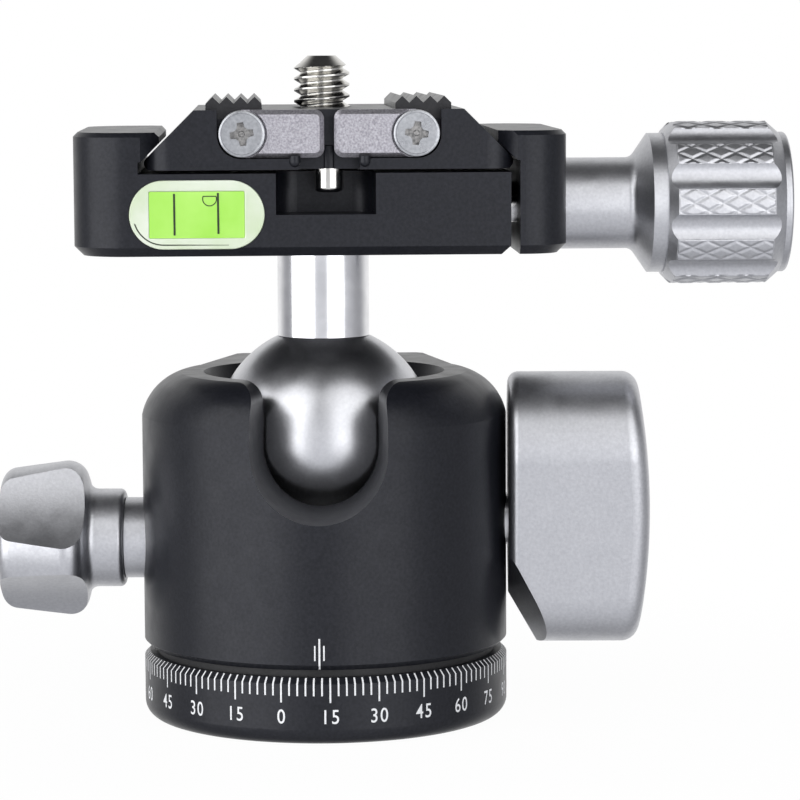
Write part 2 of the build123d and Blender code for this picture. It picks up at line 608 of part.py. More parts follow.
def moving_jaw():
    outline = [(JAW_IN, CLAMP_BOTTOM), (JAW_OUT, CLAMP_BOTTOM), (JAW_OUT, JAW_TOP), (RIGHT_LIP, JAW_TOP),
               (RIGHT_LIP, LIP_Z), (RIGHT_RELIEF, RELIEF_Z), (JAW_IN, RELIEF_Z)]
    jaw = prism_y(outline, FRONT, -FRONT)
    jaw &= plan_outline(RIGHT_LIP - 1, JAW_OUT, JAW_CORNER_R)
    jaw = soften_rims(jaw, 1)
    for cut in lead_ins(RIGHT_LIP, 1):
        jaw -= cut
    jaw -= cyl_x(STUD_R + RUN, JAW_IN - 1, JAW_OUT + 1, z=STUD_Z)
    for side in (-1, 1):
        jaw -= cyl_x(GUIDE_R + RUN, JAW_IN - 1, JAW_IN + GUIDE_OUT + FREE, side * GUIDE_Y, STUD_Z)
    return jaw


# ---- clamp knob -------------------------------------------------------------------------------
FLARE_X = KNOB_FACE + SLEEVE_L
FLANGE_X = FLARE_X + FLARE_L
GRIP_X = FLANGE_X + FLANGE_L
CAP_X = GRIP_X + GRIP_L
STUD_TIP = GRIP_X + GRIP_L / 2


def clamp_knob():
    """Sleeve, flange and fluted grip, turned from one bar."""
    outline = make_face(Polyline(
        (KNOB_FACE, 0, 0), (KNOB_FACE, 0, SLEEVE_R), (FLARE_X, 0, SLEEVE_R), (FLANGE_X, 0, FLANGE_R),
        (GRIP_X, 0, FLANGE_R), (GRIP_X, 0, GRIP_R - GRIP_EDGE_IN), (GRIP_X + GRIP_EDGE_IN, 0, GRIP_R),
        (CAP_X - GRIP_EDGE_OUT, 0, GRIP_R), (CAP_X, 0, CAP_R), (CAP_X, 0, 0), close=True))
    root = outline.vertices().sort_by_distance((FLARE_X, 0, SLEEVE_R))[0]
    knob = revolve(fillet(root, FLARE_ROOT_R), Axis.X)
    reach = GRIP_R * cos(asin(FLUTE_HALF / GRIP_R)) + sqrt(FLUTE_R ** 2 - FLUTE_HALF ** 2)
    for turn in range(FLUTES):
        angle = radians(FLUTE_TURN + 360 * turn / FLUTES)
        knob -= cyl_x(FLUTE_R, GRIP_X, CAP_X + 1, y=reach * cos(angle), z=reach * sin(angle))
    knob = Pos(0, 0, STUD_Z) * knob
    return knob - cyl_x(STUD_R + FIT, KNOB_FACE - 1, STUD_TIP + FACE, z=STUD_Z)


def knob_cap():
    outline = make_face(Polyline((CAP_X, 0, 0), (CAP_X, 0, CAP_R), (CAP_X + CAP_L, 0, CAP_R),
                                 (CAP_X + CAP_L, 0, 0), close=True))
    rim = outline.vertices().filter_by(lambda v: v.X > CAP_X + FIT and v.Z > CAP_R - FIT)
    return Pos(0, 0, STUD_Z) * revolve(fillet(rim, CAP_EDGE_R), Axis.X)


def clamp_stud():
    return cyl_x(STUD_R, STUD_END, STUD_TIP, z=STUD_Z)


# ---- quick-release plate ----------------------------------------------------------------------
FLAP_FRONT = FRONT
FLAP_BACK = FLAP_FRONT + FLAP_T
EYE_FRONT = FLAP_BACK - EYE_T
HEAD_FRONT = EYE_FRONT - FACE - FLAP_HEAD_T
PAD_FLOOR = PLATE_TOP - PAD_SUNK
PAD_END = CLAMP_DEPTH / 2 - RECESS_DEPTH
CAMERA_TIP = PLATE_TOP + CAMERA_OUT
CAMERA_HEAD_Z = PLATE_BOTTOM + CAMERA_HEAD_H + EDGE
CAMERA_HOLE_R = CAMERA_R + FREE


def qr_plate():
    outline = [(-PLATE_HALF + PLATE_EDGE, PLATE_BOTTOM), (PLATE_HALF - PLATE_EDGE, PLATE_BOTTOM),
               (PLATE_HALF, PLATE_BOTTOM + PLATE_EDGE), (PLATE_HALF, PLATE_FOOT),
               (PLATE_TOP_HALF, PLATE_TOP), (-PLATE_TOP_HALF, PLATE_TOP), (-PLATE_HALF, PLATE_FOOT),
               (-PLATE_HALF, PLATE_BOTTOM + PLATE_EDGE)]
    plate = prism_y(outline, FRONT, -FRONT)
    plan = RectangleRounded(2 * PLATE_HALF, CLAMP_DEPTH, PLATE_CORNER_R)
    plate &= extrude(Pos(0, 0, PLATE_BOTTOM) * plan, PLATE_H)
    recess_floor = PLATE_BOTTOM + RECESS_FLOOR
    recess_r = FLAP_H / 2
    recess = block(-RECESS_HALF, RECESS_HALF, FRONT - 1, FRONT + RECESS_DEPTH, recess_floor,
                   PLATE_TOP + 1)
    corners = recess.edges().filter_by(Axis.Y).group_by(Axis.Z)[0]
    plate -= fillet(corners, recess_r)
    plate -= block(-PIN_R * 2, PIN_R * 2, FRONT - 1, FRONT + RECESS_DEPTH, PLATE_BOTTOM - 1,
                   recess_floor + 1)
    for side in (-1, 1):
        plate -= cyl_y(FLAP_SCREW_R + FIT, FRONT, HEAD_FRONT + FLAP_SCREW_LENGTH + FLAP_HEAD_T,
                       side * FLAP_X, FLAP_Z)
        plate -= block(side * (PAD_INNER - FIT), side * (PAD_OUTER + FIT), -PAD_END - RECESS_DEPTH / 2,
                       PAD_END + FIT, PAD_FLOOR, PLATE_TOP + 1)
        plate -= cyl_z(PIN_R + FIT, PLATE_BOTTOM - 1, PLATE_BOTTOM + PIN_UP + FACE, y=side * PIN_Y)
    plate = Pos(PLATE_X, 0, 0) * plate
    plate -= cyl_z(CAMERA_HOLE_R, PLATE_BOTTOM - 1, PLATE_TOP + 1)
    plate -= cyl_z(CAMERA_HEAD_R + FREE, PLATE_BOTTOM - 1, CAMERA_HEAD_Z + FACE)
    return plate


def flap(side):
    """Anti-twist flap: a bar that meets its pivot screw in a hollow end, on a thin eye behind the head."""
    hollow_r = FLAP_HEAD_R + 2 * RUN
    bar = Pos((FLAP_X + FLAP_TIP) / 2, FLAP_Z) * Rectangle(FLAP_X - FLAP_TIP, FLAP_H)
    bar = fillet(bar.vertices().sort_by(Axis.X)[:2], FLAP_CORNER_R)
    plane = Plane(origin=(0, FLAP_BACK, 0), x_dir=(1, 0, 0), z_dir=(0, -1, 0))
    solid = extrude(plane * bar, FLAP_T)
    front = solid.faces().sort_by(Axis.Y)[0].outer_wire().edges()
    solid = chamfer([e for e in front if e.center().X < FLAP_X - FIT], FLAP_EDGE)
    solid -= cyl_y(hollow_r, FLAP_FRONT - 1, EYE_FRONT, FLAP_X, FLAP_Z)
    solid += cyl_y(FLAP_H / 2 - FIT, EYE_FRONT, FLAP_BACK, FLAP_X, FLAP_Z)
    solid -= cyl_y(FLAP_SCREW_R + RUN, FLAP_FRONT - 1, FLAP_BACK + 1, FLAP_X, FLAP_Z)
    return Pos(PLATE_X, 0, 0) * (solid if side > 0 else mirror(solid, Plane.YZ))


def flap_screws():
    """Pan-headed pivot screws."""
    screw = cyl_y(FLAP_HEAD_R, HEAD_FRONT, HEAD_FRONT + FLAP_HEAD_T, FLAP_X, FLAP_Z)
    screw = chamfer(screw.edges().filter_by(GeomType.CIRCLE).sort_by(Axis.Y)[0], FLAP_EDGE / 2)
    screw += cyl_y(FLAP_SCREW_R, HEAD_FRONT + FLAP_EDGE, HEAD_FRONT + FLAP_HEAD_T + FLAP_SCREW_LENGTH, FLAP_X,
                   FLAP_Z)
    return Pos(PLATE_X, 0, 0) * Compound([screw, mirror(screw, Plane.YZ)])


def grip_pads():
    """Serrated strips that bite on the camera's base."""
    root = PLATE_TOP + PAD_RISE - TOOTH_H
    outline = [(PAD_INNER, PAD_FLOOR)]
    for tooth in range(TEETH):
        outline.append((PAD_INNER + tooth * TOOTH, root))
        outline.append((PAD_INNER + (tooth + 0.5) * TOOTH, root + TOOTH_H))
    outline += [(PAD_OUTER, root), (PAD_OUTER, PAD_FLOOR)]
    pad = prism_y(outline, -PAD_END, PAD_END)
    return Pos(PLATE_X, 0, 0) * Compound([pad, mirror(pad, Plane.YZ)])


def stop_pins():
    return Compound([cyl_z(PIN_R, PLATE_BOTTOM - PIN_DOWN, PLATE_BOTTOM + PIN_UP, PLATE_X, side * PIN_Y)
                     for side in (-1, 1)])


def camera_screw():
    screw = cyl_z(CAMERA_R, PLATE_TOP + FREE, CAMERA_TIP)
    screw = chamfer(screw.edges().filter_by(GeomType.CIRCLE).sort_by(Axis.Z)[-1], EDGE)
    screw += cyl_z(CAMERA_NECK_R, PLATE_BOTTOM + EDGE, PLATE_TOP + 1)
    screw += cyl_z(CAMERA_HEAD_R, PLATE_BOTTOM + EDGE, CAMERA_HEAD_Z)
    slot = block(-CAMERA_SLOT_W / 2, CAMERA_SLOT_W / 2, -CAMERA_HEAD_R, CAMERA_HEAD_R, PLATE_BOTTOM,
                 PLATE_BOTTOM + EDGE + CAMERA_HEAD_H / 2)
    return screw - slot


NODES = {
    "base_disc": base_disc, "socket_bush": socket_bush, "pan_spindle": pan_spindle,
    "base_screws": base_screws, "pan_washer": pan_washer, "housing": housing,
    "retaining_ring": retaining_ring, "seat_plate": seat_plate, "cup_spring": cup_spring,
    "ball_cup": ball_cup, "lock_plunger": lock_plunger, "lock_screw": lock_screw,
    "lock_knob": lock_knob, "pan_bush": pan_bush, "pan_shoe": pan_shoe, "pan_screw": pan_screw,
    "pan_knob": pan_knob, "ball": ball, "stem": stem, "clamp_body": clamp_body, "clamp_screw": clamp_screw,
    "guide_pins": guide_pins, "level_block": level_block, "level_vial": level_vial, "moving_jaw": moving_jaw,
    "clamp_knob": clamp_knob, "knob_cap": knob_cap, "clamp_stud": clamp_stud, "qr_plate": qr_plate,
    "flap_left": lambda: flap(-1), "flap_right": lambda: flap(1), "flap_screws": flap_screws,
    "grip_pads": grip_pads, "stop_pins": stop_pins, "camera_screw": camera_screw,
}

TURNED_WITH_CLAMP = {
    "clamp_body", "clamp_screw", "guide_pins", "level_block", "level_vial", "moving_jaw", "clamp_knob",
    "knob_cap", "clamp_stud", "qr_plate", "flap_left", "flap_right", "flap_screws", "grip_pads",
    "stop_pins", "camera_screw",
}

os.makedirs("parts", exist_ok=True)
for name, build in NODES.items():
    solid = Rot(0, 0, CLAMP_TURN) * build() if name in TURNED_WITH_CLAMP else build()
    export_step(solid, f"parts/{name}.step")
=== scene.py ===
import json
import math

import bmesh
import bpy
from mathutils import Matrix, Vector


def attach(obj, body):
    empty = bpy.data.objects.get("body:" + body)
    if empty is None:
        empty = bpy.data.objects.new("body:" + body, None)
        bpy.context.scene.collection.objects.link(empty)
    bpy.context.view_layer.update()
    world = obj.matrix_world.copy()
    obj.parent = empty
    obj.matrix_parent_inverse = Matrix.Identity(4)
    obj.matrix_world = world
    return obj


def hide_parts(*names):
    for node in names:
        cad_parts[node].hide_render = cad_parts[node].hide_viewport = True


MM = 0.001

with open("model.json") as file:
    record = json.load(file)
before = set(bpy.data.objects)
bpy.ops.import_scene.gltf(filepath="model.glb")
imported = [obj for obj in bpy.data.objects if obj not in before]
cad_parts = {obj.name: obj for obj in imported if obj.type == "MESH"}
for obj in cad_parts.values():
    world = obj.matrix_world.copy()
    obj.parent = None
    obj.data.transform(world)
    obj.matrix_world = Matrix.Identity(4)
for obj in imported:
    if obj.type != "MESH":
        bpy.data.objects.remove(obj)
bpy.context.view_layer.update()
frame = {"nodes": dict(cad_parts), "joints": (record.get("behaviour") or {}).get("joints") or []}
nodes = frame["nodes"]
joints = {joint["name"]: joint for joint in frame["joints"]}


# ---- material helpers --------------------------------------------------------------------------
def new_material(name, color, metallic=0.0, roughness=0.5, **inputs):
    """Principled material; further inputs are given by their socket names, with _ for a space."""
    material = bpy.data.materials.new(name)
    material.use_nodes = True
    shader = material.node_tree.nodes["Principled BSDF"]
    shader.inputs["Base Color"].default_value = (*color, 1)
    shader.inputs["Metallic"].default_value = metallic
    shader.inputs["Roughness"].default_value = roughness
    for key, value in inputs.items():
        shader.inputs[key.replace("_", " ")].default_value = value
    return material, shader


def add_node(material, kind, **values):
    """Shader node; values name its own settings or, with _ for a space, its sockets."""
    node = material.node_tree.nodes.new(kind)
    for key, value in values.items():
        if hasattr(node, key):
            setattr(node, key, value)
        else:
            node.inputs[key.replace("_", " ")].default_value = value
    return node


def link(material, source, target):
    material.node_tree.links.new(source, target)


def noise(material, size, detail=2.0, stretch=(1, 1, 1), rough=0.5):
    """Noise in the piece's own metres; size is the grain in metres."""
    coords = add_node(material, "ShaderNodeTexCoord")
    mapping = add_node(material, "ShaderNodeMapping")
    mapping.inputs["Scale"].default_value = [s / size for s in stretch]
    texture = add_node(material, "ShaderNodeTexNoise", Scale=1.0, Detail=detail, Roughness=rough)
    link(material, coords.outputs["Object"], mapping.inputs["Vector"])
    link(material, mapping.outputs["Vector"], texture.inputs["Vector"])
    return texture.outputs["Fac"]


def spread(material, source, low, high, start=0.3, end=0.7):
    """Stretches a 0 to 1 value to low..high."""
    ranger = add_node(material, "ShaderNodeMapRange")
    ranger.inputs["From Min"].default_value = start
    ranger.inputs["From Max"].default_value = end
    ranger.inputs["To Min"].default_value = low
    ranger.inputs["To Max"].default_value = high
    link(material, source, ranger.inputs["Value"])
    return ranger.outputs["Result"]


def vary_color(material, shader, source, first, second):
    """Base colour that runs between two shades."""
    ramp = add_node(material, "ShaderNodeValToRGB")
    ramp.color_ramp.elements[0].position = 0.3
    ramp.color_ramp.elements[1].position = 0.7
    ramp.color_ramp.elements[0].color = (*first, 1)
    ramp.color_ramp.elements[1].color = (*second, 1)
    link(material, source, ramp.inputs["Fac"])
    link(material, ramp.outputs["Color"], shader.inputs["Base Color"])


def bump(material, shader, source, depth):
    """Relief of the given depth in metres."""
    node = add_node(material, "ShaderNodeBump", Strength=1.0, Distance=depth)
    link(material, source, node.inputs["Height"])
    link(material, node.outputs["Normal"], shader.inputs["Normal"])


# ---- materials ---------------------------------------------------------------------------------
def blasted(name, dark, light, metallic, rough_low, rough_high, grain=0.16 * MM, depth=0.006 * MM,
            cloud=0.35 * MM, **inputs):
    """Blasted, moulded or painted surface: fine grain, faint clouds and uneven gloss."""
    material, shader = new_material(name, light, metallic, (rough_low + rough_high) / 2, **inputs)
    vary_color(material, shader, noise(material, cloud, 4.0), dark, light)
    link(material, spread(material, noise(material, 2.5 * MM, 3.0), rough_low, rough_high),
         shader.inputs["Roughness"])
    bump(material, shader, noise(material, grain, 2.0), depth)
    return material


def turned(name, dark, light, rough_low, rough_high, axis):
    """Bright turned metal: fine rings stacked along an axis."""
    stretch = [0.02, 0.02, 0.02]
    stretch["XYZ".index(axis)] = 1.0
    material, shader = new_material(name, light, 1.0, (rough_low + rough_high) / 2)
    rings = noise(material, 0.12 * MM, 2.0, stretch)
    vary_color(material, shader, noise(material, 3.0 * MM, 2.0), dark, light)
    link(material, spread(material, rings, rough_low, rough_high), shader.inputs["Roughness"])
    bump(material, shader, rings, 0.002 * MM)
    return material


black = blasted("black_anodised", (0.009, 0.010, 0.014), (0.017, 0.018, 0.024), 0.25, 0.32, 0.40,
                Specular_IOR_Level=0.34)
ball_black = blasted("ball_black", (0.56, 0.565, 0.59), (0.62, 0.625, 0.65), 1.0, 0.29, 0.35,
                     0.14 * MM, 0.004 * MM)
silver = blasted("silver_anodised", (0.50, 0.505, 0.53), (0.58, 0.585, 0.61), 1.0, 0.34, 0.42,
                 0.22 * MM, 0.010 * MM)
flap_silver = blasted("flap_silver", (0.27, 0.26, 0.29), (0.52, 0.51, 0.55), 0.85, 0.38, 0.48,
                      0.15 * MM, 0.022 * MM, 0.22 * MM)
stem_bright = turned("stem_bright", (0.66, 0.66, 0.68), (0.80, 0.80, 0.82), 0.12, 0.20, "Z")
steel = turned("steel_bright", (0.52, 0.52, 0.53), (0.64, 0.64, 0.65), 0.14, 0.24, "Z")
screw_steel = blasted("screw_zinc", (0.34, 0.35, 0.37), (0.46, 0.47, 0.49), 1.0, 0.24, 0.36,
                      0.3 * MM, 0.005 * MM)
# Darker copy of the screws' zinc for the recess floors: painted shade in the recesses.
recess_shade_steel = blasted("recess_zinc_painted_shade", (0.15, 0.15, 0.15), (0.40, 0.39, 0.38), 1.0, 0.3, 0.45,
                       0.3 * MM, 0.01 * MM)
chrome = turned("chrome", (0.52, 0.51, 0.49), (0.66, 0.65, 0.62), 0.11, 0.19, "Z")
brass = turned("brass_turned", (0.62, 0.44, 0.16), (0.74, 0.55, 0.24), 0.2, 0.32, "X")
rubber = blasted("black_rubber", (0.014, 0.014, 0.015), (0.024, 0.024, 0.026), 0.0, 0.5, 0.62,
                 0.2 * MM, 0.01 * MM)
pad_black = blasted("pad_black", (0.010, 0.010, 0.012), (0.020, 0.020, 0.023), 0.2, 0.30, 0.40,
                    0.2 * MM, 0.006 * MM)
paint = blasted("white_paint", (0.80, 0.81, 0.83), (0.92, 0.93, 0.95), 0.0, 0.5, 0.6,
                0.1 * MM, 0.002 * MM)
milky = blasted("milky_acrylic", (0.60, 0.72, 0.48), (0.84, 0.88, 0.80), 0.0, 0.10, 0.18,
                2.0 * MM, 0.004 * MM, 7.0 * MM)
fluid = blasted("level_fluid", (0.36, 0.78, 0.08), (0.52, 0.90, 0.20), 0.0, 0.06, 0.10,
                4.0 * MM, 0.003 * MM, 9.0 * MM)
# Ink for the level's printed lines; the same dark material also paints shade at the bubble's edge and along
# the lower rim.
ink_and_painted_shade = blasted("level_ink_and_painted_shade", (0.010, 0.018, 0.006), (0.020, 0.032, 0.010), 0.0, 0.3, 0.4)

MATERIAL_OF = {
    "base_disc": black, "housing": black, "clamp_body": black, "moving_jaw": black, "qr_plate": black,
    "ball": ball_black, "stem": stem_bright, "grip_pads": pad_black, "pan_washer": rubber,
    "ball_cup": rubber, "lock_knob": silver, "pan_knob": silver, "pan_bush": silver, "clamp_knob": silver,
    "knob_cap": silver, "flap_left": flap_silver, "flap_right": flap_silver, "level_vial": fluid,
    "level_block": milky, "lock_plunger": brass, "pan_shoe": brass, "seat_plate": brass,
}
for name, node in nodes.items():
    node.data.materials.clear()
    node.data.materials.append(MATERIAL_OF.get(name, steel))


# ---- pieces ------------------------------------------------------------------------------------
# All pieces are drawn in millimetres, then scaled into their meshes.  The clamp and what it carries are
# drawn square to the axes and turned with the clamp about the stem.
clamp_axis = joints["jaw_slide"]["axis"]
CLAMP_FRAME = Matrix.Rotation(math.atan2(clamp_axis[1], clamp_axis[0]), 4, "Z")
STRAIGHT = Matrix.Identity(4)
# Stands a drawing plane up to face -Y.
FRONTAL = Matrix(((1, 0, 0, 0), (0, 0, -1, 0), (0, 1, 0, 0), (0, 0, 0, 1)))


def add_piece(name, mesh, material, body, replaced=(), frame_matrix=STRAIGHT):
    """Puts a mesh drawn in millimetres on a body, in place of the nodes that it replaces."""
    mesh.transform(Matrix.Scale(MM, 4) @ frame_matrix)
    mesh.materials.clear()
    mesh.materials.append(material)
    piece = bpy.data.objects.new(name, mesh)
    bpy.context.collection.objects.link(piece)
    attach(piece, body)
    if replaced:
        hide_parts(*replaced)
    return piece


def mesh_of(name, points, faces, smooth_angle=None):
    """Clean mesh; edges flatter than the angle in degrees are shaded smooth."""
    mesh = bpy.data.meshes.new(name)
    mesh.from_pydata([tuple(point) for point in points], [], faces)
    mesh.validate()
    shape = bmesh.new()
    shape.from_mesh(mesh)
    bmesh.ops.remove_doubles(shape, verts=shape.verts, dist=1e-5)
    bmesh.ops.recalc_face_normals(shape, faces=shape.faces)
    if smooth_angle:
        for face in shape.faces:
            face.smooth = True
        for edge in shape.edges:
            if len(edge.link_faces) == 2 and edge.calc_face_angle(0) > math.radians(smooth_angle):
                edge.smooth = False
    shape.to_mesh(mesh)
    shape.free()
    return mesh


def join_meshes(name, meshes):
    shape = bmesh.new()
    for mesh in meshes:
        shape.from_mesh(mesh)
    joined = bpy.data.meshes.new(name)
    shape.to_mesh(joined)
    shape.free()
    return joined


def baked(curve):
    """Mesh of a curve or text."""
    holder = bpy.data.objects.new("holder", curve)
    bpy.context.collection.objects.link(holder)
    depsgraph = bpy.context.evaluated_depsgraph_get()
    mesh = bpy.data.meshes.new_from_object(holder.evaluated_get(depsgraph))
    bpy.data.objects.remove(holder)
    return mesh


def filled(loops, depth, bevel=0.0):
    """Flat shape with holes, drawn in its plane and given a depth both ways."""
    curve = bpy.data.curves.new("outline", "CURVE")
    curve.dimensions = "2D"
    curve.fill_mode = "BOTH"
    curve.extrude = depth / 2 - bevel
    curve.bevel_depth = bevel
    curve.bevel_resolution = 2
    curve.offset = -bevel
    for loop in loops:
        spline = curve.splines.new("POLY")
        spline.points.add(len(loop) - 1)
        for point, (x, y) in zip(spline.points, loop):
            point.co = (x, y, 0, 1)
        spline.use_cyclic_u = True
    return baked(curve)


def lathe(profile, turns):
    """Surface of revolution about Z; the profile is a list of (radius, height)."""
    points, faces = [], []
    for step in range(turns):
        angle = 2 * math.pi * step / turns
        points += [(r * math.cos(angle), r * math.sin(angle), z) for r, z in profile]
    count = len(profile)
    for step in range(turns):
        here, there = step * count, (step + 1) % turns * count
        faces += [(here + k, there + k, there + k + 1, here + k + 1) for k in range(count - 1)]
    return mesh_of("lathe", points, faces, 32)


def arc(center, radius, start, end, steps=10):
    """Points on an arc, angles in degrees."""
    return [(center[0] + radius * math.cos(math.radians(start + (end - start) * k / steps)),
             center[1] + radius * math.sin(math.radians(start + (end - start) * k / steps)))
            for k in range(steps + 1)]


def placed(mesh, matrix):
    mesh.transform(matrix)
    return mesh


# ---- degree scale and index --------------------------------------------------------------------
HEAD_R = 20.85
DISC_H = 7.5
DISC_EDGE = 0.6
INK_PROUD = 0.012
ZERO_TURN = -90 - 11.9     # degrees round the axis where the zero stands
TICK_STEP = 2.5
NUMBER_STEP = 15
TICK_W = 0.19
TICK_FOOT = 5.6
LONG_TICK_FOOT = 4.85
NUMBER_FOOT = 2.52
NUMBER_H = 1.57
CAPITAL_SHARE = 0.70       # height of a digit in the font's size
NUMBER_NARROW = 0.86
INDEX_TURN = -90 - 0.1
INDEX_LINE = (8.42, 9.0, 11.96)    # heights of the long line's foot, bend and top
INDEX_W = 0.2
INDEX_SIDE = 0.5
INDEX_SIDE_W = 0.16
INDEX_SIDE_LINE = (9.52, 11.19)


def on_wall(turn, aside, radius=HEAD_R + INK_PROUD):
    """Place round the wall: a turn in degrees and a width aside in millimetres."""
    angle = math.radians(turn) + aside / HEAD_R
    return radius * math.cos(angle), radius * math.sin(angle)


def wall_strip(turn, aside, width, heights):
    """Painted line up the wall; heights is a list of (radius, height)."""
    points, faces = [], []
    for radius, height in heights:
        points += [(*on_wall(turn, aside + side * width / 2, radius), height) for side in (-1, 1)]
    for k in range(len(heights) - 1):
        faces.append((2 * k, 2 * k + 1, 2 * k + 3, 2 * k + 2))
    return points, faces


def strips_mesh(name, strips):
    points, faces = [], []
    for strip_points, strip_faces in strips:
        start = len(points)
        points += strip_points
        faces += [tuple(start + k for k in face) for face in strip_faces]
    return mesh_of(name, points, faces)


def number_mesh(value, turn, foot, height):
    """Number bent round the wall."""
    text = bpy.data.curves.new("number", "FONT")
    text.body = value
    text.align_x = "CENTER"
    text.size = height / CAPITAL_SHARE
    text.space_character = 1.18
    text.offset = 0.012
    text.resolution_u = 6
    mesh = baked(text)
    for vertex in mesh.vertices:
        aside, up = vertex.co.x * NUMBER_NARROW, vertex.co.y
        vertex.co = (*on_wall(turn, aside), foot + up)
    return mesh


def make_scale():
    rim = HEAD_R - DISC_EDGE + INK_PROUD
    skin = HEAD_R + INK_PROUD
    strips = []
    for count in range(round(360 / TICK_STEP)):
        degrees = count * TICK_STEP
        low = LONG_TICK_FOOT if degrees % NUMBER_STEP == 0 else TICK_FOOT
        strips.append(wall_strip(ZERO_TURN + degrees, 0, TICK_W,
                                 [(rim, DISC_H + INK_PROUD), (skin, DISC_H - DISC_EDGE), (skin, low)]))
    meshes = [strips_mesh("ticks", strips)]
    for degrees in range(0, 181, NUMBER_STEP):
        for side in ((1,) if degrees in (0, 180) else (-1, 1)):
            meshes.append(number_mesh(str(degrees), ZERO_TURN + side * degrees, NUMBER_FOOT, NUMBER_H))
    add_piece("degree_scale", join_meshes("degree_scale", meshes), paint, "pan_base")


def make_index():
    skin = HEAD_R + INK_PROUD
    radii = (HEAD_R - DISC_EDGE + INK_PROUD, skin, skin)
    strips = [wall_strip(INDEX_TURN, 0, INDEX_W, list(zip(radii, INDEX_LINE)))]
    for side in (-INDEX_SIDE, INDEX_SIDE):
        strips.append(wall_strip(INDEX_TURN, side, INDEX_SIDE_W,
                                 [(skin, height) for height in INDEX_SIDE_LINE]))
    add_piece("index_mark", strips_mesh("index_mark", strips), paint, "housing")


# ---- camera screw ------------------------------------------------------------------------------
PLATE_TOP = 69.6
THREAD_TOP = 75.4
THREAD_R = 3.17
THREAD_PITCH = 1.27
THREAD_DEPTH = 0.75
THREAD_FOOT = 69.45
THREAD_RISE = 0.035        # height of one row of faces
THREAD_TURNS = 96
SCREW_TIP_R = 1.6


def thread_radius(angle, height):
    """Sixty degree thread that fades out in the tip's chamfer."""
    phase = ((height - PLATE_TOP) / THREAD_PITCH - angle / (2 * math.pi)) % 1.0
    away = abs(phase - 0.5) * 2
    crest = min(1.0, max(0.0, (away - 0.14) / 0.68))
    radius = THREAD_R - THREAD_DEPTH * (1 - crest)
    return max(SCREW_TIP_R, min(radius, SCREW_TIP_R + (THREAD_TOP - height) * 1.15))


def make_camera_screw():
    rows = round((THREAD_TOP - THREAD_FOOT) / THREAD_RISE)
    points = []
    for row in range(rows + 1):
        height = THREAD_FOOT + (THREAD_TOP - THREAD_FOOT) * row / rows
        for step in range(THREAD_TURNS):
            angle = 2 * math.pi * step / THREAD_TURNS
            radius = thread_radius(angle, height)
            points.append((radius * math.cos(angle), radius * math.sin(angle), height))
    faces = []
    for row in range(rows):
        for step in range(THREAD_TURNS):
            here, there = row * THREAD_TURNS + step, row * THREAD_TURNS + (step + 1) % THREAD_TURNS
            faces.append((here, there, there + THREAD_TURNS, here + THREAD_TURNS))
    faces.append(tuple(range(rows * THREAD_TURNS, (rows + 1) * THREAD_TURNS)))
    thread = mesh_of("thread", points, faces, 45)
    foot = bmesh.new()
    foot.from_mesh(nodes["camera_screw"].data)
    cut = PLATE_TOP * MM - 0.1 * MM
    bmesh.ops.bisect_plane(foot, geom=foot.verts[:] + foot.edges[:] + foot.faces[:], plane_co=(0, 0, cut),
                           plane_no=(0, 0, 1), clear_outer=True)
    foot_mesh = bpy.data.meshes.new("foot")
    foot.to_mesh(foot_mesh)
    foot.free()
    foot_mesh.transform(Matrix.Scale(1 / MM, 4))
    add_piece("camera_screw_threaded", join_meshes("camera_screw_threaded", [thread, foot_mesh]), chrome,
              "camera_screw", ("camera_screw",))


# ---- plate: flap screws, stop pins, locating studs ----------------------------------------------
PLATE_X = 0.4
FLAP_X = 9.5
FLAP_SCREW_Z = 67.0
SCREW_HEAD_R = 2.55
SCREW_HEAD_FRONT = -18.5
SCREW_HEAD_T = 1.5
SCREW_SHANK_R = 1.25
SCREW_TURNS = ((-1, 8), (1, -6))   # side of the plate and turn of the recess in degrees
RECESS_REACH = 1.28
RECESS_HALF = 0.42
RECESS_ROUND = 0.28
PIN_R = 1.65
PIN_ROUND = 0.6
BOSS_R = 1.45              # black boss in the plate above each pin
PLATE_BOTTOM = 63.1
STUD_X = (-3.35, 4.25)     # half-round locating studs under the flaps
STUD_R = 0.62
STUD_Y = -17.9
STUD_LOW = 63.35
STUD_HIGH = 64.6
PIN_Y = 14.0
PIN_BOTTOM = 60.5
PIN_TOP = 65.6


def cross_loop(reach, half, round_in):
    """Four-lobed recess of a cross-head screw."""
    loop = []
    for quarter in range(4):
        turn = math.radians(90 * quarter)
        for x, y in ((reach, -half * 0.8), (reach, half * 0.8), (half + round_in, half + 0.02),
                     (half + 0.02, half + round_in)):
            loop.append((x * math.cos(turn) - y * math.sin(turn), x * math.sin(turn) + y * math.cos(turn)))
    return loop


